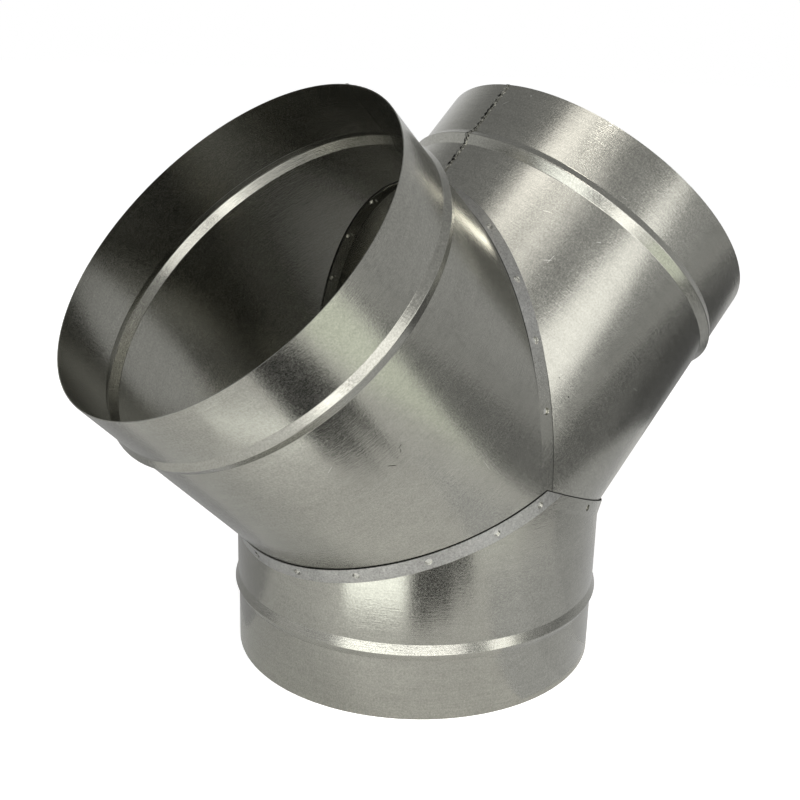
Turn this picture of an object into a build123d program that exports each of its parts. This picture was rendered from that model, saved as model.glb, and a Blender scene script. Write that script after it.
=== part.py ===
from build123d import *
from math import sin, cos, tan, radians
import os

# Main sizes in millimetres, for a duct of 250 nominal
spigot_radius = 124.6
branch_angle = 45.0
meeting_height = 140.0
branch_length = 216.5

# Sheet and the play between lapped sheets
sheet = 0.6
lap_play = 0.1

# Rolled stop bead round each spigot
bead_from_mouth = 46.0
bead_mouth_side = 5.0
bead_body_side = 6.5
bead_height = 2.7
bend_radius = 0.9

# Flat lapped strips where the tubes meet
strip_width = 11.0
edge_relief = 0.5
taper_start = 30.0
taper_end = 92.0
taper_waist = 2.6

# Pressed joining points along the strips
point_recess_radius = 2.3
point_recess_depth = 1.35
point_wall = 0.55

# Welded lap along each tube, which stops a little short of the strips
weld_arc = 1.4
weld_height = 0.4
weld_gap = 0.5

# Places of the joining points, in degrees round each seam
crotch_front = [11.0, 29.0, 44.5, 58.7, 73.5]
collar_left_front = [1.7, 16.0, 35.3, 55.5, 74.5]
collar_right_front = [21.0, 41.0, 59.0, 76.0]
collar_side = 93.0

# Length of each tube past the meeting point before it is trimmed, and the play round a cutter
collar_overrun = 60.0
branch_overrun = 70.0
cutter_clear = 1.0
flat_tolerance = 0.01
square_tolerance = 1e-4

# Body radii step outward by one sheet from right branch to left branch to collar
left_radius = spigot_radius
right_radius = left_radius - sheet - lap_play
collar_radius = left_radius + sheet + lap_play

# Planes along the tubes and planes of the seams, each seam facing the sheet that it trims
half = strip_width / 2
turn = radians(branch_angle)
lean = radians(branch_angle / 2)
joint = Vector(0, 0, meeting_height)
left_tube = Plane(origin=joint, x_dir=(cos(turn), 0, sin(turn)), z_dir=(0, -1, 0))
right_tube = Plane(origin=joint, x_dir=(-cos(turn), 0, sin(turn)), z_dir=(0, 1, 0))
collar_tube = Plane(origin=joint, x_dir=(1, 0, 0), z_dir=(0, 1, 0))
left_mitre = Plane(origin=joint, x_dir=(cos(lean), 0, sin(lean)), z_dir=(-sin(lean), 0, cos(lean)))
right_mitre = Plane(origin=joint, x_dir=(cos(lean), 0, -sin(lean)), z_dir=(sin(lean), 0, cos(lean)))
left_crotch = Plane(origin=joint, x_dir=(0, 1, 0), z_dir=(-1, 0, 0))
right_crotch = Plane(origin=joint, x_dir=(0, 1, 0), z_dir=(1, 0, 0))

# Depths of the nested cups below the outer skin
outer_cup_depth = point_recess_depth + point_wall
outer_cup_radius = point_recess_radius + point_wall
outer_cup_start = sheet / 2
inner_hole_depth = outer_cup_depth + lap_play
inner_hole_radius = outer_cup_radius + lap_play
inner_cup_depth = inner_hole_depth + point_wall
inner_cup_radius = inner_hole_radius + point_wall
inner_cup_start = sheet * 2

# Heights where the strips meet and how far the raw edges reach
cusp = half / cos(lean)
edge_reach = half - edge_relief
flange_depth = strip_width - edge_relief

# Lengths of the tubes and of their welds, from the mouth
collar_run = meeting_height + collar_overrun
branch_run = branch_length + branch_overrun
collar_weld_run = meeting_height - (collar_radius + weld_height) * tan(lean) - cusp - weld_gap
branch_weld_run = branch_length - (left_radius + weld_height) / tan(turn) - half / sin(turn) - weld_gap


# Wall line from the mouth over the bead and down the body
def wall_line(body_radius, shift, mouth_at, run):
    bead_at = mouth_at - bead_from_mouth
    return [
        (spigot_radius + shift, mouth_at),
        (spigot_radius + shift, bead_at + bead_mouth_side),
        (spigot_radius + bead_height + shift, bead_at),
        (body_radius + shift, bead_at - bead_body_side),
        (body_radius + shift, mouth_at - run),
    ]


# Section along one tube between two lines that follow the wall
def wall_section(tube, body_radius, mouth_at, run, outer, inner):
    with BuildSketch(tube) as section:
        with BuildLine():
            skin = FilletPolyline(*wall_line(body_radius, outer, mouth_at, run), radius=bend_radius)
            back = FilletPolyline(*wall_line(body_radius, inner, mouth_at, run), radius=bend_radius)
            Line(skin @ 0, back @ 0)
            Line(skin @ 1, back @ 1)
        make_face()
    return section.sketch


# Sheet turned into a tube
def roll_tube(tube, body_radius, mouth_at, run):
    section = wall_section(tube, body_radius, mouth_at, run, 0, -sheet)
    revolve(section, axis=Axis(joint, tube.y_dir))


# Raised weld along a tube, over the bead
def lay_weld(tube, body_radius, mouth_at, run):
    section = wall_section(tube, body_radius, mouth_at, run, weld_height, -sheet / 2)
    revolve(section, axis=Axis(joint, tube.y_dir), revolution_arc=weld_arc)


# Pressed cups at the joining points, solid first and then hollowed from outside
def press_cups(spots, cup_start, cup_depth, cup_radius, hole_depth, hole_radius):
    hanging = (Align.CENTER, Align.CENTER, Align.MAX)
    with Locations(*[spot.offset(-cup_start) for spot in spots]):
        Cylinder(radius=cup_radius, height=cup_depth - cup_start, align=hanging)
    with Locations(*[spot.offset(cutter_clear) for spot in spots]):
        Cylinder(
            radius=hole_radius,
            height=hole_depth + cutter_clear,
            align=hanging,
            mode=Mode.SUBTRACT,
        )


# Cups of the upper sheet in a lap, and cups of the sheet under it
def press_outer_cups(spots):
    press_cups(spots, outer_cup_start, outer_cup_depth, outer_cup_radius,
               point_recess_depth, point_recess_radius)


def press_inner_cups(spots):
    press_cups(spots, inner_cup_start, inner_cup_depth, inner_cup_radius,
               inner_hole_depth, inner_hole_radius)


# Flat faces of a part that lie on a plane moved along its normal
def faces_on(part, plane, height):
    flat = part.faces().filter_by(GeomType.PLANE)
    return [f for f in flat if abs(plane.to_local_coords(f.center()).Z - height) < flat_tolerance
            and abs(abs(f.normal_at().dot(plane.z_dir)) - 1) < square_tolerance]


# Planes on the outer skin at the middle of the crotch strip, z outward
def crotch_points(angles):
    rise = left_radius / sin(turn)
    planes = []
    for angle in angles:
        a = radians(angle)
        spot = Vector(0, -left_radius * sin(a), meeting_height + half / tan(turn) + rise * cos(a))
        outward = Vector(0, -sin(a), cos(a) * sin(turn))
        planes.append(Plane(origin=spot, z_dir=outward))
    return planes


# Planes on the outer skin at the middle of a collar strip, z outward
def collar_points(angles, mitre, side):
    slope = cos(lean)
    planes = []
    for angle in angles:
        a = radians(angle)
        across = side * collar_radius * sin(a) / slope
        centre = side * half * tan(lean)
        flat = mitre.x_dir * (across + centre)
        spot = joint + flat + Vector(0, -collar_radius * cos(a), 0)
        outward = mitre.x_dir * (side * sin(a) * slope) + Vector(0, -cos(a), 0)
        planes.append(Plane(origin=spot, z_dir=outward))
    return planes


# Angles of a seam's points at the front, at the side and mirrored to the back
def round_the_seam(front):
    return front + [collar_side] + [180 - angle for angle in front]


crotch_spots = crotch_points(crotch_front + [-angle for angle in crotch_front])
left_spots = collar_points(round_the_seam(collar_left_front), left_mitre, -1)
right_spots = collar_points(round_the_seam(collar_right_front), right_mitre, 1)


# One branch trimmed at its two seams, with a flange over each and a weld in its throat
def make_branch(tube, body_radius, crotch, mitre, side):
    with BuildPart() as branch:
        roll_tube(tube, body_radius, branch_length, branch_run)
        for seam in (crotch, mitre):
            split(bisect_by=seam.offset(half), keep=Keep.TOP)
        for seam in (crotch, mitre):
            extrude(faces_on(branch.part, seam, half), amount=flange_depth, dir=-seam.z_dir)
        with BuildSketch(Plane.XZ):
            with BuildLine():
                Polyline(
                    (side * (half + cutter_clear), meeting_height),
                    (0, meeting_height),
                    (0, meeting_height + cusp),
                    (side * taper_waist, meeting_height + taper_start),
                    (side * edge_reach, meeting_height + taper_end),
                    (side * (half + cutter_clear), meeting_height + taper_end),
                    close=True,
                )
            make_face()
        extrude(amount=left_radius + cutter_clear, both=True, mode=Mode.SUBTRACT)
        lay_weld(tube, body_radius, branch_length, branch_weld_run)
    return branch.part


# Flange of the collar, a bent strip over each branch that comes to a point front and back
with BuildPart() as collar_flange:
    with BuildSketch(left_mitre.offset(-half)):
        with Locations((-half * tan(lean), 0)):
            Ellipse(collar_radius / cos(lean), collar_radius)
            Ellipse((collar_radius - sheet) / cos(lean), collar_radius - sheet, mode=Mode.SUBTRACT)
    extrude(amount=flange_depth)
    split(bisect_by=Plane.YZ, keep=Keep.BOTTOM)
    mirror(about=Plane.YZ)

# Inlet collar, the outermost sheet, flanged over both branches
with BuildPart() as inlet_collar:
    roll_tube(collar_tube, collar_radius, meeting_height, collar_run)
    for mitre in (left_mitre, right_mitre):
        split(bisect_by=mitre.offset(-half), keep=Keep.BOTTOM)
    add(collar_flange.part)
    lay_weld(collar_tube, collar_radius, meeting_height, collar_weld_run)
    press_outer_cups(left_spots + right_spots)
inlet_collar.part.label = "inlet_collar"

# Left branch, the middle sheet, flanged over the right branch
with BuildPart() as left_branch:
    add(make_branch(left_tube, left_radius, left_crotch, left_mitre, 1))
    press_outer_cups(crotch_spots)
    press_inner_cups(left_spots)
left_branch.part.label = "left_branch"

# Right branch, the innermost sheet
with BuildPart() as right_branch:
    add(make_branch(right_tube, right_radius, right_crotch, right_mitre, -1))
    press_inner_cups(crotch_spots + right_spots)
right_branch.part.label = "right_branch"

# One file for each sheet
os.makedirs("parts", exist_ok=True)
export_step(inlet_collar.part, "parts/inlet_collar.step")
export_step(left_branch.part, "parts/left_branch.step")
export_step(right_branch.part, "parts/right_branch.step")
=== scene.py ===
# %% [markdown]
# # A galvanised duct y branch
# This lesson dresses a sheet-steel fitting that splits one round duct into two. The three sheets
# come ready from the CAD model, exactly to size. What is left for Blender is what makes rolled
# zinc-coated steel look real: its grain, its cloudy zinc, the welds, the seams and soft light.

from math import cos, pi, radians, sin, tan

import bmesh
import bpy
from mathutils import Matrix, Quaternion, Vector, noise


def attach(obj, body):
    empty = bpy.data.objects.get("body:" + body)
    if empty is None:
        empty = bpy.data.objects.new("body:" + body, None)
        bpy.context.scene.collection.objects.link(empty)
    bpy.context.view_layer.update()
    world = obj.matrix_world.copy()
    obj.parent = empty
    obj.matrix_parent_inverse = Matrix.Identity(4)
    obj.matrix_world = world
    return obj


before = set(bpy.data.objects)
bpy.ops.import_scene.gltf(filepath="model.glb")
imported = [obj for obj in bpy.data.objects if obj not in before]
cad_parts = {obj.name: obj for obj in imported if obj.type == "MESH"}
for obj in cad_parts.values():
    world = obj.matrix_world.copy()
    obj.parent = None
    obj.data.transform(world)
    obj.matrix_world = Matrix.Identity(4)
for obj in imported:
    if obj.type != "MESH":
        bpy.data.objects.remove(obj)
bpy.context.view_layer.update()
print("sheets:", sorted(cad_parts))

# %% [markdown]
# The fitting's own sizes come first, in metres, because Blender works in metres. The three tubes
# meet at one point on the collar's axis, and each seam lies on the plane that halves the angle
# between two tubes. The welds, seam lines and scratches could be put in place by eye, but worked
# out from these few values they sit exactly on the sheets.

# %% Sizes and directions of the fitting
MM = 0.001
tube_radius = 124.6 * MM
sheet_step = 0.7 * MM
joint = Vector((0, 0, 140 * MM))
branch_length = 216.5 * MM
collar_length = joint.z
bead_from_mouth = 46 * MM
bead_mouth_side = 5 * MM
bead_body_side = 6.5 * MM
bead_height = 2.7 * MM
strip_half = 5.5 * MM
raw_edge_at = 5.0 * MM
branch_turn = radians(45)
mitre_turn = branch_turn / 2
crotch_turn = radians(90)

left_turn = Matrix.Rotation(-branch_turn, 4, "Y")
right_turn = Matrix.Rotation(branch_turn, 4, "Y")
collar_turn = Matrix.Rotation(pi, 4, "Y")
half_turn = Matrix.Rotation(pi, 4, "Z")

# %% [markdown]
# A material is a small network of nodes. Making each node by hand takes three or four lines, so
# one helper makes a node, sets its options and fills its inputs. An input is either a plain value
# or the output of an earlier node, and the helper tells them apart. The others are short names
# for the nodes that come up again and again.

# %% Helpers that place one node
def fill(tree, node, feeds):
    for name, value in feeds.items():
        if isinstance(value, bpy.types.NodeSocket):
            tree.links.new(value, node.inputs[name])
        else:
            node.inputs[name].default_value = value


def place(tree, kind, feeds, **options):
    node = tree.nodes.new("ShaderNode" + kind)
    for name, value in options.items():
        setattr(node, name, value)
    fill(tree, node, feeds)
    return node


def maths(tree, operation, first, second=0.0, third=0.0, clamp=False):
    node = place(tree, "Math", {0: first, 1: second, 2: third},
                 operation=operation, use_clamp=clamp)
    return node.outputs[0]


def mixed(tree, amount, first, second):
    mix_a, mix_b, mix_result = 6, 7, 2
    node = place(tree, "Mix", {"Factor": amount, mix_a: first, mix_b: second}, data_type="RGBA")
    return node.outputs[mix_result]


def ramp(tree, value, start_at, end_at, low=0.0, high=1.0):
    node = place(tree, "MapRange", {"Value": value, "From Min": start_at, "From Max": end_at,
                                    "To Min": low, "To Max": high})
    return node.outputs["Result"]


def soft_noise(tree, vector, scale, detail, roughness=0.5):
    node = place(tree, "TexNoise", {"Vector": vector, "Scale": scale, "Detail": detail,
                                    "Roughness": roughness})
    return node.outputs["Fac"]


def stretched(tree, vector, by):
    return place(tree, "VectorMath", {0: vector, 1: by}, operation="MULTIPLY").outputs[0]


# %% [markdown]
# Effects that several sheets share, such as grain or a seam line, are node groups. They could be
# copied into every material, but a group is built once with named sockets and then placed in each
# material with its own numbers. These helpers open a group and use one.

# %% Helpers for node groups
def open_group(name, takes, gives):
    tree = bpy.data.node_groups.new(name, "ShaderNodeTree")
    for label, kind in takes.items():
        tree.interface.new_socket(label, in_out="INPUT", socket_type="NodeSocket" + kind)
    for label, kind in gives.items():
        tree.interface.new_socket(label, in_out="OUTPUT", socket_type="NodeSocket" + kind)
    start = tree.nodes.new("NodeGroupInput").outputs
    end = tree.nodes.new("NodeGroupOutput").inputs
    return tree, start, end


def use_group(tree, group, feeds):
    node = tree.nodes.new("ShaderNodeGroup")
    node.node_tree = group
    fill(tree, node, feeds)
    return node.outputs


# %% [markdown]
# Cold-rolled sheet carries fine lines from the rolls, and here they run round the tube. An image
# of brushed steel would show its edges and its repeats, so noise makes the lines instead, squeezed
# along the tube's axis and left long across it. The pattern is read in the tube's own directions,
# so the lines stay level on a leaning branch too. A second, even noise gives the slight orange
# peel of the zinc.

# %% Group: rolled grain and orange peel
fine_squeeze = (75, 75, 1300)
broad_squeeze = (9, 9, 260)
peel_scale = 620.0
fine_share = 0.6
broad_share = 0.4

grain, start, end = open_group(
    "rolled grain",
    {"Vector": "Vector", "Grain": "Float", "Peel": "Float"},
    {"Height": "Float", "Streaks": "Float"})
fine = soft_noise(grain, stretched(grain, start["Vector"], fine_squeeze), scale=1.0,
                  detail=3.0, roughness=0.6)
broad = soft_noise(grain, stretched(grain, start["Vector"], broad_squeeze), scale=1.0, detail=2.0)
peel = soft_noise(grain, start["Vector"], peel_scale, detail=2.0, roughness=0.55)
lines = maths(grain, "MULTIPLY", fine, start["Grain"])
bumps = maths(grain, "MULTIPLY", peel, start["Peel"])
streaks = maths(grain, "ADD", maths(grain, "MULTIPLY", fine, fine_share),
                maths(grain, "MULTIPLY", broad, broad_share))
grain.links.new(maths(grain, "ADD", lines, bumps), end["Height"])
grain.links.new(streaks, end["Streaks"])
print(grain.name, "has", len(grain.nodes), "nodes")

# %% [markdown]
# Hot zinc cools in faint clouds and crystals, with fine specks between them. Each could be a
# material of its own, but they all lighten or darken the same metal, so the group hands out one
# number, the tone. Soft noise gives the clouds and the specks, and a cell pattern the crystals,
# which are kept weak, because on this sheet they are only seen where the light is even.

# %% Group: zinc clouds
cloud_scale = 22.0
speck_scale = 900.0
crystal_scale = 210.0
cloud_share = 0.7
speck_share = 1.7
tone_shift = -0.7

zinc, start, end = open_group(
    "zinc clouds", {"Vector": "Vector", "Crystal": "Float"}, {"Tone": "Float"})
cloud = soft_noise(zinc, start["Vector"], cloud_scale, detail=4.0, roughness=0.55)
speck = soft_noise(zinc, start["Vector"], speck_scale, detail=2.0)
cells = place(zinc, "TexVoronoi", {"Vector": start["Vector"], "Scale": crystal_scale,
                                   "Randomness": 1.0}).outputs["Color"]
cell_tone = place(zinc, "SeparateColor", {0: cells}).outputs[0]
specks = maths(zinc, "MULTIPLY_ADD", speck, speck_share, tone_shift)
soft = maths(zinc, "MULTIPLY_ADD", cloud, cloud_share, specks)
sparkle = maths(zinc, "MULTIPLY", maths(zinc, "SUBTRACT", cell_tone, 0.5), start["Crystal"])
zinc.links.new(maths(zinc, "ADD", soft, sparkle, clamp=True), end["Tone"])
print(zinc.name, "has", len(zinc.nodes), "nodes")

# %% [markdown]
# Where two sheets lap there is a flat strip, and beside its raw edge a dark line, painted shade
# for the shadow in the crevice, with some dirt. Both could be painted on, but they follow a flat
# plane, so one group can draw them: in the seam's own directions the third coordinate is the
# distance from the plane, and a band is whatever lies between two heights.

# %% Group: band between two heights
band, start, end = open_group(
    "seam band",
    {"Vector": "Vector", "Low": "Float", "High": "Float", "Edge": "Float"},
    {"Mask": "Float"})
height = place(band, "SeparateXYZ", {0: start["Vector"]}).outputs["Z"]
over_low = maths(band, "SUBTRACT", height, start["Low"])
under_high = maths(band, "SUBTRACT", start["High"], height)
inside_low = maths(band, "DIVIDE", over_low, start["Edge"], clamp=True)
inside_high = maths(band, "DIVIDE", under_high, start["Edge"], clamp=True)
band.links.new(maths(band, "MULTIPLY", inside_low, inside_high), end["Mask"])
print(band.name, "has", len(band.nodes), "nodes")

# %% [markdown]
# A fitting is handled before it is sold, so it has a few scratches, each in its own place. The
# same marks also draw a painted shade line and a painted highlight line along one welded lap.
# Noise would scatter them anywhere. Here a mark is a small stretched ball in the sheet: the
# Mapping node moves the pattern to the mark, turns it flat on the wall and scales it to the
# mark's size, and whatever lies less than one away from the middle is inside the mark.

# %% Group: one mark on the wall of a tube
mark, start, end = open_group(
    "placed mark",
    {"Vector": "Vector", "Spot": "Vector", "Turn": "Vector", "Size": "Vector"},
    {"Mask": "Float"})
local = place(mark, "Mapping", {"Vector": start["Vector"], "Location": start["Spot"],
                                "Rotation": start["Turn"], "Scale": start["Size"]},
              vector_type="TEXTURE").outputs[0]
far_off = place(mark, "VectorMath", {0: local}, operation="LENGTH").outputs["Value"]
mark.links.new(maths(mark, "LESS_THAN", far_off, 1.0), end["Mask"])
print(mark.name, "has", len(mark.nodes), "nodes")

# %% [markdown]
# The laps are held by small pressed points. Each point is painted lighter, a painted highlight
# for the glint its dent catches, and is made smoother than the strip round it. The dent itself is
# in the CAD sheet, and only its finish is missing. Everything within a short distance of a point's
# middle belongs to it, and that is all this group tests.

# %% Group: pressed point
point, start, end = open_group(
    "pressed point", {"Vector": "Vector", "Spot": "Vector", "Radius": "Float"}, {"Mask": "Float"})
apart = place(point, "VectorMath", {0: start["Vector"], 1: start["Spot"]},
              operation="DISTANCE").outputs["Value"]
point.links.new(maths(point, "LESS_THAN", apart, start["Radius"]), end["Mask"])
print(point.name, "has", len(point.nodes), "nodes")

# %% [markdown]
# On the real fitting the points stand at uneven steps along each seam, as the hand sets them. The
# dents could be searched for in the mesh, but a seam is the cut of a tube by a plane, so an angle
# round the tube gives each place by a short formula. Every angle stands for two points, one at the
# front and one at the back.

# %% Places of the pressed points
crotch_angles = (11.0, 29.0, 44.5, 58.7, 73.5)
left_seam_angles = (1.7, 16.0, 35.3, 55.5, 74.5)
right_seam_angles = (21.0, 41.0, 59.0, 76.0)


def crotch_spots():
    spots = []
    for angle in crotch_angles:
        a = radians(angle)
        rise = strip_half + tube_radius / sin(branch_turn) * cos(a)
        for front in (-1, 1):
            spots.append(joint + Vector((0, front * tube_radius * sin(a), rise)))
    return spots


def collar_spots(angles, side):
    spots = []
    strip_middle = strip_half * tan(mitre_turn)
    for angle in angles:
        a = radians(angle)
        across = tube_radius * sin(a) / cos(mitre_turn) + strip_middle
        flat = Vector((side * cos(mitre_turn), 0, -sin(mitre_turn))) * across
        for front in (-1, 1):
            spots.append(joint + flat + Vector((0, front * tube_radius * cos(a), 0)))
    return spots


print(len(crotch_spots()), "points hold the two branches together")

# %% [markdown]
# Clean zinc is a light, slightly green grey, the strips are duller, and fresh scratches are
# brighter. The scratch colour is also a painted highlight on the pressed points and along the lap
# inside the left mouth, the dirt colour is also painted shade along that lap, and a near-black is
# painted shade in the crevices beside raw edges. One plain grey would look like paint, so the zinc
# and the strips each have a dark and a light colour, which the tone mixes. The numbers look dark,
# because metal shows the room times its colour.

# %% Colours and strengths of the finish
zinc_dark = (0.23, 0.229, 0.205, 1)
zinc_light = (0.43, 0.428, 0.387, 1)
strip_dark = (0.26, 0.26, 0.25, 1)
strip_light = (0.54, 0.54, 0.52, 1)
# near-black painted shade for the crevices beside raw edges
crevice_painted_shade = (0.008, 0.008, 0.007, 1)
# scratch colour, also painted highlight on the pressed points and the lap inside the left mouth
scratch_and_highlight_zinc = (0.62, 0.62, 0.58, 1)
# dirt colour, also painted shade along the lap inside the left mouth
dirt_and_shade = (0.05, 0.05, 0.04, 1)

grain_depth = 1.0
peel_depth = 1.0
crystal_depth = 0.12
tone_share = 0.7
streak_share = 0.6
streak_shift = -0.08
smooth_roughness = 0.17
cloudy_roughness = 0.10
strip_roughness = 0.16
point_polish = -0.15
strip_blur = 0.4 * MM
crevice_shade_blur = 0.25 * MM
point_radius = 2.3 * MM
mark_depth = 6 * MM
bump_strength = 0.45
bump_height = 0.09 * MM
# the width printed is that of the painted highlight on each pressed point
print("a pressed point is burnished", round(2 * point_radius / MM, 1), "mm across")

# %% [markdown]
# All three sheets are the same steel, so one function builds each sheet's material. Three materials
# made by hand would drift apart. What differs is the direction of the tube, which turns the grain,
# and the seams that cross the sheet. The Principled shader sits in the material itself, fully
# metallic, and the node groups feed only its colour, roughness and normal.

# %% The galvanised finish
def in_frame_of(tree, coordinates, turned):
    node = place(tree, "Mapping", {"Vector": coordinates, "Location": joint,
                                   "Rotation": (0, turned, 0)}, vector_type="TEXTURE")
    return node.outputs[0]


def seam_mask(tree, where, turned, low, high, blur, gone_at, full_at):
    mask = use_group(tree, band, {"Vector": in_frame_of(tree, where, turned),
                                  "Low": low, "High": high, "Edge": blur})["Mask"]
    world_height = place(tree, "SeparateXYZ", {0: where}).outputs["Z"]
    return maths(tree, "MULTIPLY", mask, ramp(tree, world_height, gone_at, full_at))


def mark_mask(tree, along, angle, height, tilt, length, width):
    a = radians(angle)
    spot = Vector((cos(a) * tube_radius, sin(a) * tube_radius, height * MM))
    return use_group(tree, mark, {
        "Vector": along, "Spot": spot, "Turn": (radians(tilt), 0, a),
        "Size": (mark_depth, length / 2 * MM, width / 2 * MM)})["Mask"]


def point_mask(tree, where, points):
    pressed = 0.0
    for spot in points:
        one = use_group(tree, point, {"Vector": where, "Spot": spot, "Radius": point_radius})
        pressed = maths(tree, "MAXIMUM", pressed, one["Mask"])
    return pressed


def galvanised(name, tube_turned, strips=(), crevice_shades=(), marks=(), points=()):
    material = bpy.data.materials.new(name)
    material.use_nodes = True
    tree = material.node_tree
    shader = tree.nodes["Principled BSDF"]
    where = place(tree, "TexCoord", {}).outputs["Object"]
    along = in_frame_of(tree, where, tube_turned)
    lines = use_group(tree, grain, {"Vector": along, "Grain": grain_depth, "Peel": peel_depth})
    tone = use_group(tree, zinc, {"Vector": along, "Crystal": crystal_depth})["Tone"]
    streaks = maths(tree, "MULTIPLY_ADD", lines["Streaks"], streak_share, streak_shift)
    shade = maths(tree, "ADD", maths(tree, "MULTIPLY", tone, tone_share), streaks, clamp=True)
    colour = mixed(tree, shade, zinc_dark, zinc_light)
    rough = maths(tree, "MULTIPLY_ADD", tone, cloudy_roughness, smooth_roughness)
    for turned, gone_at, full_at in strips:
        mask = seam_mask(tree, where, turned, -strip_half, strip_half, strip_blur, gone_at, full_at)
        colour = mixed(tree, mask, colour, mixed(tree, tone, strip_dark, strip_light))
        rough = maths(tree, "MULTIPLY_ADD", mask, strip_roughness, rough)
    if points:
        pressed = point_mask(tree, where, points)
        # painted highlight: each pressed point is coloured lighter
        colour = mixed(tree, pressed, colour, scratch_and_highlight_zinc)
        rough = maths(tree, "MULTIPLY_ADD", pressed, point_polish, rough)
    for *place_and_size, mark_tone in marks:
        colour = mixed(tree, mark_mask(tree, along, *place_and_size), colour, mark_tone)
    # painted shade: near-black lines in the crevices beside raw edges
    for turned, low, high, gone_at, full_at in crevice_shades:
        mask = seam_mask(tree, where, turned, low, high, crevice_shade_blur, gone_at, full_at)
        colour = mixed(tree, mask, colour, crevice_painted_shade)
    bump = place(tree, "Bump", {"Height": lines["Height"], "Strength": bump_strength,
                                "Distance": bump_height})
    shader.inputs["Metallic"].default_value = 1.0
    tree.links.new(colour, shader.inputs["Base Color"])
    tree.links.new(rough, shader.inputs["Roughness"])
    tree.links.new(bump.outputs[0], shader.inputs["Normal"])
    print(name, "has", len(tree.nodes), "nodes")
    return material


# %% [markdown]
# The sheet under a raw edge gets a dark line beside it, painted shade for the shadow in the
# crevice, with some dirt. A strip or a line runs either round the whole seam, or only above a
# height, fading out below it. A mark is given by its angle round the tube in degrees, its height
# above the joint in millimetres, its tilt in degrees, its length and width in millimetres, and its
# colour. Their places follow the fitting as it is, since scratches have no rule. The two long ones
# on the left branch are a painted shade line and a painted highlight line along the edge of its
# welded lap, as it shows inside the mouth.

# %% Seam lines and marks of each sheet
all_round = (0.0, 1 * MM)
strip_above = (200 * MM, 250 * MM)
line_above = (200 * MM, 240 * MM)
strip_edge = raw_edge_at - 0.3 * MM
crotch_edge = raw_edge_at - 0.1 * MM

collar_strips = ((-mitre_turn, *all_round),)
left_strips = ((crotch_turn, *strip_above),)
# lines of painted shade in the crevices beside the raw edges
left_crevice_shades = (
    (-mitre_turn, strip_edge, raw_edge_at + 0.9 * MM, *all_round),
    (crotch_turn, -raw_edge_at - 1.1 * MM, -raw_edge_at, *line_above))
right_crevice_shades = (
    (mitre_turn, strip_edge, raw_edge_at + 0.6 * MM, *all_round),
    (crotch_turn, crotch_edge, raw_edge_at + 0.6 * MM, *all_round))
left_marks = (
    (-113.8, 110.3, -46, 5.5, 0.6, dirt_and_shade),
    (-108.8, 117.5, 20, 3.5, 0.4, dirt_and_shade),
    (-109.6, 114.5, 60, 3.0, 0.35, dirt_and_shade),
    (-125.9, 133.7, 30, 6.0, 0.25, scratch_and_highlight_zinc),
    (-96.0, 60.0, 85, 9.0, 0.25, scratch_and_highlight_zinc),
    # a painted shade line and a painted highlight line along the welded lap, seen inside the mouth
    (0.1, 178.0, 90, 76.0, 0.6, dirt_and_shade),
    (1.3, 178.0, 90, 76.0, 0.4, scratch_and_highlight_zinc))
right_marks = (
    (-133.0, 115.6, 34, 5.6, 0.4, scratch_and_highlight_zinc),
    (-132.4, 117.4, 82, 7.0, 0.35, scratch_and_highlight_zinc),
    (-124.0, 145.4, 35, 4.0, 0.35, scratch_and_highlight_zinc),
    (-141.4, 142.3, 20, 5.0, 0.25, scratch_and_highlight_zinc),
    (-168.1, 211.0, 0, 1.4, 1.0, scratch_and_highlight_zinc),
    (-104.5, 56.4, 0, 1.2, 1.0, dirt_and_shade),
    (-110.4, 61.3, 0, 1.0, 0.9, dirt_and_shade),
    (-83.9, 94.9, 15, 6.0, 0.4, scratch_and_highlight_zinc),
    (-125.5, 179.2, 10, 4.0, 0.25, scratch_and_highlight_zinc),
    (-175.1, 201.2, 45, 6.0, 0.35, scratch_and_highlight_zinc))
print(len(left_marks) + len(right_marks), "marks on the two branches")

# %% [markdown]
# Each sheet gets its own material. The collar shows its strips over both branches, and the left
# branch shows its strip over the right one. New meshes could take the sheets' place, but the CAD
# meshes have the exact shape, so they stay untouched and only the material in their slots changes.

# %% Dress the three sheets
collar_points = collar_spots(left_seam_angles, -1) + collar_spots(right_seam_angles, 1)
sheet_looks = {
    "inlet_collar": galvanised("galvanised_collar_zinc", 0, collar_strips, points=collar_points),
    "left_branch": galvanised("galvanised_left_zinc", -branch_turn, left_strips, left_crevice_shades,
                              left_marks, crotch_spots()),
    "right_branch": galvanised("galvanised_right_zinc", branch_turn, (), right_crevice_shades,
                               right_marks),
}
for name, look in sheet_looks.items():
    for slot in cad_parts[name].material_slots:
        slot.material = look
    print(name, "has", len(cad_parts[name].data.polygons), "faces")

# %% [markdown]
# Each tube is closed by a welded lap. The wheel that welds it leaves a row of overlapping nuggets,
# burnt dark and a little ragged, from the mouth over the rolled bead and down the body. A painted
# line would stay flat where it crosses the outline, so the run is a real mesh. It has to climb the
# bead with the wall, and this cell works out how high the wall stands at each step.

# %% Wall under a weld run
weld_start = 0.4 * MM
weld_step = 1.1 * MM
weld_half = 1.9 * MM
weld_crown = 0.9 * MM
weld_foot = -0.1 * MM
weld_middle = 1.52 * MM
weld_sway = 0.9 * MM
branch_weld_length = 80 * MM
collar_weld_length = 74 * MM


def wall_height(from_mouth, body_step):
    rise = bead_from_mouth - bead_mouth_side
    if from_mouth < rise:
        return 0.0
    if from_mouth < bead_from_mouth:
        return bead_height * (from_mouth - rise) / bead_mouth_side
    down = min(1.0, (from_mouth - bead_from_mouth) / bead_body_side)
    return bead_height + (body_step - bead_height) * down


print("the bead lifts the weld", round(wall_height(bead_from_mouth, 0) / MM, 2), "mm")

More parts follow.
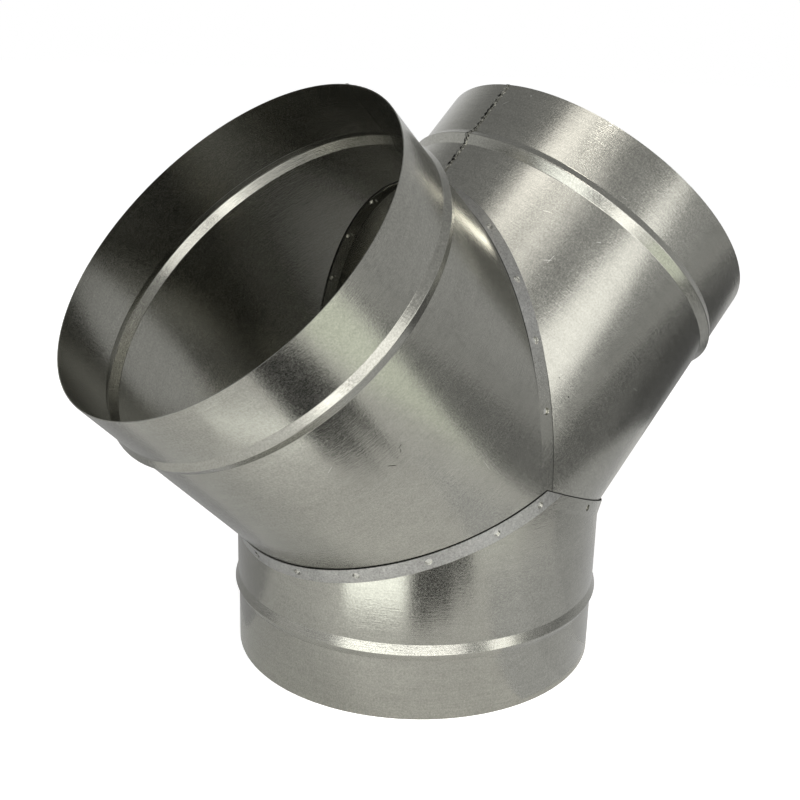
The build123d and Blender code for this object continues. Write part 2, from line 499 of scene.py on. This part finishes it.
# %% [markdown]
# A weld nugget is a low hump with a foot on each side. Five points across the run draw one hump.
# A cosine makes the humps swell in a steady beat, as the welding wheel does, and smooth noise
# makes some wider, some narrower and lets the run sway a little.

# %% Cross section of a weld run
beat_per_step = 2.1
ragged_per_step = 0.71
sway_per_step = 0.53
least_width, beat_width, ragged_width = 0.75, 0.35, 0.9
least_crown, beat_crown = 0.45, 0.55
shoulder_out, shoulder_up = 0.55, 0.8


def weld_section(number, mouth_at):
    beat = 0.5 + 0.5 * cos(number * beat_per_step)
    ragged = noise.noise(Vector((number * ragged_per_step, 3.0, mouth_at * 50)))
    sway = noise.noise(Vector((number * sway_per_step, 7.0, 1.0)))
    half = weld_half * (least_width + beat_width * beat + ragged_width * ragged)
    crown = weld_crown * (least_crown + beat_crown * beat)
    centre = weld_middle + weld_sway * sway
    out, up = half * shoulder_out, crown * shoulder_up
    hump = [(-half, weld_foot), (-out, up), (0, crown), (out, up), (half, weld_foot)]
    return [(centre + across, rise) for across, rise in hump]


print("the first hump is", round(weld_section(0, branch_length)[2][1] / MM, 2), "mm high")

# %% [markdown]
# The run is drawn out like a rope of paste. A box or a swept curve would give one width all along,
# while an edge that is extruded step by step takes a new cross section each time. The finished
# mesh is then turned from the tube's own directions into the fitting's.

# %% Helpers that draw out a weld run
def into_scene(name, mesh):
    data = bpy.data.meshes.new(name)
    mesh.to_mesh(data)
    mesh.free()
    made = bpy.data.objects.new(name, data)
    bpy.context.scene.collection.objects.link(made)
    return made


def draw_out(mesh, rim):
    drawn = bmesh.ops.extrude_edge_only(mesh, edges=rim)["geom"]
    rim = [part for part in drawn if isinstance(part, bmesh.types.BMEdge)]
    section = []
    for edge in rim:
        for vert in edge.verts:
            if vert not in section:
                section.append(vert)
    section.sort(key=lambda vert: vert.co.y)
    return rim, section


def weld_run(name, turned, mouth_at, length, body_step):
    mesh = bmesh.new()
    steps = int(length / weld_step)
    section = [mesh.verts.new((0, across, 0)) for across, _ in weld_section(0, mouth_at)]
    rim = [mesh.edges.new(pair) for pair in zip(section, section[1:])]
    for number in range(steps + 1):
        if number > 0:
            rim, section = draw_out(mesh, rim)
        from_mouth = weld_start + number * weld_step
        skin = tube_radius + wall_height(from_mouth, body_step)
        for vert, (across, up) in zip(section, weld_section(number, mouth_at)):
            vert.co = (skin + up, across, mouth_at - from_mouth)
    bmesh.ops.recalc_face_normals(mesh, faces=mesh.faces)
    mesh.transform(Matrix.Translation(joint) @ turned)
    run = into_scene(name, mesh)
    run.data.shade_smooth()
    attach(run, "root")
    print(name, "has", steps, "nuggets in", round(length / MM), "mm")
    return run


# %% [markdown]
# On the two branches the weld lies in the throat, so it has to stop where the seam begins. The
# right branch is the mirror of the left one, and its wall below the bead is one sheet smaller. The
# collar's wall is one sheet larger, and its weld is on the side that the camera doesn't see.

# %% The three weld runs
left_weld = weld_run("left_weld_run", left_turn, branch_length, branch_weld_length,
                     0)
right_weld = weld_run("right_weld_run", right_turn @ half_turn, branch_length,
                      branch_weld_length, -sheet_step)
collar_weld = weld_run("collar_weld_run", collar_turn @ half_turn, collar_length,
                       collar_weld_length, sheet_step)

# %% [markdown]
# The heat burns the zinc off a weld and leaves dark scale, with bright flakes where metal spat.
# Black paint would miss the flakes. One noise drives both the colour and the bump, so a flake that
# is lighter also stands a little higher.

# %% Burnt weld finish
burnt_scale = (0.012, 0.012, 0.010, 1)
bright_flake = (0.30, 0.30, 0.27, 1)
flake_scale = 420.0
flake_from = 0.42
flake_to = 0.62
burnt_roughness = 0.55
burnt_bump_strength = 0.6
burnt_bump_height = 0.3 * MM


def burnt_weld(name, tube_turned):
    material = bpy.data.materials.new(name)
    material.use_nodes = True
    tree = material.node_tree
    shader = tree.nodes["Principled BSDF"]
    where = place(tree, "TexCoord", {}).outputs["Object"]
    uneven = soft_noise(tree, in_frame_of(tree, where, tube_turned), flake_scale, detail=3.0)
    flakes = ramp(tree, uneven, flake_from, flake_to)
    bump = place(tree, "Bump", {"Height": uneven, "Strength": burnt_bump_strength,
                                "Distance": burnt_bump_height})
    shader.inputs["Metallic"].default_value = 1.0
    shader.inputs["Roughness"].default_value = burnt_roughness
    tree.links.new(mixed(tree, flakes, burnt_scale, bright_flake), shader.inputs["Base Color"])
    tree.links.new(bump.outputs[0], shader.inputs["Normal"])
    return material


for run, tube_turned in ((left_weld, -branch_turn), (right_weld, branch_turn), (collar_weld, 0)):
    run.data.materials.append(burnt_weld(run.name + "_burnt", tube_turned))
    print(run.name, "has", len(run.data.polygons), "faces")

# %% [markdown]
# From here on nothing belongs to the fitting: this is the studio. Floor and cards share a matt
# paint without gloss, which may glow. A lamp would light the fitting as well, while a glow can be
# kept for the rays that should see it.

# %% Paint for the floor and the cards
white = (1, 1, 1, 1)
black = (0, 0, 0, 1)
floor_grey = (0.9, 0.9, 0.9, 1)


def stage_paint(name, base, roughness, glow_colour):
    look = bpy.data.materials.new(name)
    look.use_nodes = True
    paint = look.node_tree.nodes["Principled BSDF"]
    paint.inputs["Base Color"].default_value = base
    paint.inputs["Roughness"].default_value = roughness
    paint.inputs["Specular IOR Level"].default_value = 0.0
    paint.inputs["Emission Color"].default_value = glow_colour
    return look, paint


# %% [markdown]
# The floor is a pale sheet that runs far past the picture, so that no edge shows. Brighter lamps
# would make it white but would wash out the fitting. Instead the camera's rays meet a little added
# white on it, and mirrored rays a trace, so that it reads as a white page and still keeps the
# shade under the collar.

# %% Floor
floor_radius = 12
floor_for_camera = 0.64
floor_for_steel = 0.08

floor_mesh = bmesh.new()
bmesh.ops.create_circle(floor_mesh, cap_ends=True, segments=64, radius=floor_radius)
floor = into_scene("studio_floor", floor_mesh)
floor_look, paint = stage_paint("studio_white", floor_grey, roughness=0.9, glow_colour=white)
tree = floor_look.node_tree
rays = place(tree, "LightPath", {}).outputs
white_page = maths(tree, "MULTIPLY", rays["Is Camera Ray"], floor_for_camera)
tree.links.new(maths(tree, "MULTIPLY_ADD", rays["Is Glossy Ray"], floor_for_steel, white_page),
               paint.inputs["Emission Strength"])
floor.data.materials.append(floor_look)
print("floor is", 2 * floor_radius, "m across")

# %% [markdown]
# Steel shows the room in its skin, so the room needs a shape: walls that get lighter towards the
# back, and a darker ceiling. An even white all round would make the tubes look flat. A ray's own
# direction tells how far back and how high it looks, and two ramps turn that into a level. Only
# mirrored rays meet that room. The camera sees plain white, and everything else is lit by a
# dimmer, even level.

# %% Room light
wall_front, wall_back = 0.6, 0.82
wall_turns_over = (0.1, 0.8)
ceiling_front, ceiling_back = 0.48, 0.34
ceiling_turns_over = (-0.6, 0.6)
ceiling_rises_over = (0.25, 0.6)
fill_level = 0.42

world = bpy.data.worlds.new("studio_room")
bpy.context.scene.world = world
world.use_nodes = True
tree = world.node_tree
background = tree.nodes["Background"]
background.inputs["Color"].default_value = white
rays = place(tree, "LightPath", {}).outputs
ways = place(tree, "SeparateXYZ", {0: place(tree, "TexCoord", {}).outputs["Generated"]}).outputs
walls = ramp(tree, ways["Y"], *wall_turns_over, wall_front, wall_back)
overhead = ramp(tree, ways["Y"], *ceiling_turns_over, ceiling_front, ceiling_back)
upward = ramp(tree, ways["Z"], *ceiling_rises_over)
room = maths(tree, "MULTIPLY_ADD", upward, maths(tree, "SUBTRACT", overhead, walls), walls)
mirrored = maths(tree, "ADD", rays["Is Glossy Ray"], rays["Is Transmission Ray"], clamp=True)
seen = maths(tree, "ADD", rays["Is Camera Ray"], mirrored, clamp=True)
unseen = maths(tree, "SUBTRACT", 1.0, seen)
level = maths(tree, "MULTIPLY_ADD", mirrored, room, rays["Is Camera Ray"])
tree.links.new(maths(tree, "MULTIPLY_ADD", unseen, fill_level, level),
               background.inputs["Strength"])
print(world.name, "has", len(tree.nodes), "nodes")

# %% [markdown]
# Polished metal shows its lamps, so each lamp stands where the steel mirrors it to the camera.
# Small bulbs would give hard sparks, and soft boxes give long calm bands. Four boxes hang overhead
# for the bright bands on the upper walls. A broad window stands in front, a box above the camera
# and a window on the left, and two low strips light the rolled beads. Each is given by its
# direction from the fitting in degrees, its width and height in metres, its power and its tint.

# %% Soft boxes
middle = Vector((0, 0, 0.19))
box_distance = 1.6
camera_box_distance = 1.7
daylight = (1.0, 0.985, 0.96)


def towards(azimuth, elevation):
    a, e = radians(azimuth), radians(elevation)
    return Vector((cos(a) * cos(e), sin(a) * cos(e), sin(e)))


def soft_box(name, azimuth, elevation, wide, high, power, tint, distance=box_distance):
    lamp = bpy.data.lights.new(name, "AREA")
    lamp.shape = "RECTANGLE"
    lamp.size = wide
    lamp.size_y = high
    lamp.energy = power
    lamp.color = tint
    box = bpy.data.objects.new(name, lamp)
    bpy.context.scene.collection.objects.link(box)
    out = towards(azimuth, elevation)
    box.location = middle + out * distance
    box.rotation_euler = out.to_track_quat("Z", "Y").to_euler()
    box.visible_camera = False
    print(name, "stands at", [round(c, 2) for c in box.location])


soft_box("overhead_box", -142, 65, 0.95, 0.62, 1.85, (1.0, 0.97, 0.93))
soft_box("overhead_core", -144, 72, 0.40, 0.32, 0.66, (1.0, 0.96, 0.92))
soft_box("zenith_box", -80, 70, 0.36, 0.3, 4.6, (1.0, 0.96, 0.9))
soft_box("shoulder_box", -113, 52, 0.5, 0.36, 0.52, (1.0, 0.97, 0.94))
soft_box("front_window", -97, 17, 1.8, 0.66, 6.9, daylight)
soft_box("camera_box", -127, 31, 0.8, 0.36, 5.5, daylight, camera_box_distance)
soft_box("low_left_strip", -136, -3.5, 2.2, 0.2, 5.8, daylight)
soft_box("low_right_strip", -79, -3.5, 0.42, 0.2, 0.9, daylight)
soft_box("left_window", -158, 14, 1.0, 0.5, 4.0, (0.98, 1.0, 0.97))

# %% [markdown]
# Grey cards are as useful as lamps. A steel tube with white all round looks flat, and a card gives
# it the dark bands that show how it curves. Each card is part of a ring on the table: an edge is
# spun round the upright axis, from one direction to another and from a near reach to a far one. A
# card that crosses another lies a little higher, so that the two never share a plane, and the
# left one stands upright. The cards stay out of the picture and the light, and only the steel
# shows them. Each is given by its two directions, its two reaches in metres and its glow.

# %% Cards on the table
card_height = 2 * MM
near_card_height = 3 * MM
top_card_height = 4 * MM
card_steps = 12
green_white = (0.95, 1.0, 0.86, 1)
cool_white = (0.98, 1.0, 0.95, 1)


def table_card(name, first, last, near, far, glow, colour=white,
               low=card_height, high=card_height):
    mesh = bmesh.new()
    edge = [mesh.verts.new(towards(first, 0) * reach + Vector((0, 0, up)))
            for reach, up in ((near, low), (far, high))]
    mesh.edges.new(edge)
    bmesh.ops.spin(mesh, geom=mesh.verts[:] + mesh.edges[:], axis=(0, 0, 1), cent=(0, 0, 0),
                   angle=radians(last - first), steps=card_steps)
    card = into_scene(name, mesh)
    look, face = stage_paint(name + "_face", black, roughness=1.0, glow_colour=colour)
    face.inputs["Emission Strength"].default_value = glow
    card.data.materials.append(look)
    card.visible_camera = False
    card.visible_shadow = False
    card.visible_diffuse = False
    print(name, "spans", last - first, "degrees")


table_card("front_dark_card_a", -131, -121, 0.25, 0.46, 0.03)
table_card("front_dark_card_b", -121, -112, 0.265, 0.46, 0.03)
table_card("front_dark_card_c", -112, -101, 0.305, 0.46, 0.05)
table_card("right_dark_card", -68, -4, 0.42, 1.4, 0.26)
table_card("right_darker_card", -34, 0, 0.43, 0.95, 0.14,
           low=top_card_height, high=top_card_height)
table_card("right_near_card_a", -94, -74, 0.126, 0.31, 0.78)
table_card("right_near_card_b", -74, -52, 0.126, 0.33, 0.71)
table_card("right_near_card_c", -52, -6, 0.126, 0.425, 0.63,
           low=near_card_height, high=near_card_height)
table_card("right_grey_card", -4, 40, 0.45, 0.86, 0.38)
table_card("behind_card", 60, 150, 0.14, 1.0, 0.42)
table_card("front_bright_card", -99, -70, 0.46, 1.1, 1.4, green_white)
table_card("left_bright_card", -162, -133.5, 0.262, 0.262, 3.2, cool_white,
           low=8 * MM, high=50 * MM)

# %% [markdown]
# The camera repeats the photograph's view: it stands in front and to the left, a little above the
# fitting, with a normal lens. It could be aimed by a constraint, but a direction, a distance and a
# small roll say the same in plain numbers. Its small sideways shift keeps the fitting where the
# picture frames it.

# %% Camera
target = Vector((0.0427, 0.0303, 0.1565))
camera_distance = 0.8686
camera_azimuth = -130.494
camera_elevation = 17.139
camera_roll = 2.184
sensor_mm = 36
lens_mm = 53.52
sideways_shift = -0.05

back = towards(camera_azimuth, camera_elevation)
camera_data = bpy.data.cameras.new("photo_camera")
camera_data.sensor_width = sensor_mm
camera_data.lens = lens_mm
camera_data.shift_x = sideways_shift
camera = bpy.data.objects.new("photo_camera", camera_data)
bpy.context.scene.collection.objects.link(camera)
roll = Quaternion(back, radians(camera_roll))
camera.rotation_mode = "QUATERNION"
camera.rotation_quaternion = roll @ back.to_track_quat("Z", "Y")
camera.location = target + back * camera_distance
bpy.context.scene.camera = camera
bpy.context.scene.view_settings.view_transform = "Standard"
print("camera stands at", [round(c, 3) for c in camera.location])
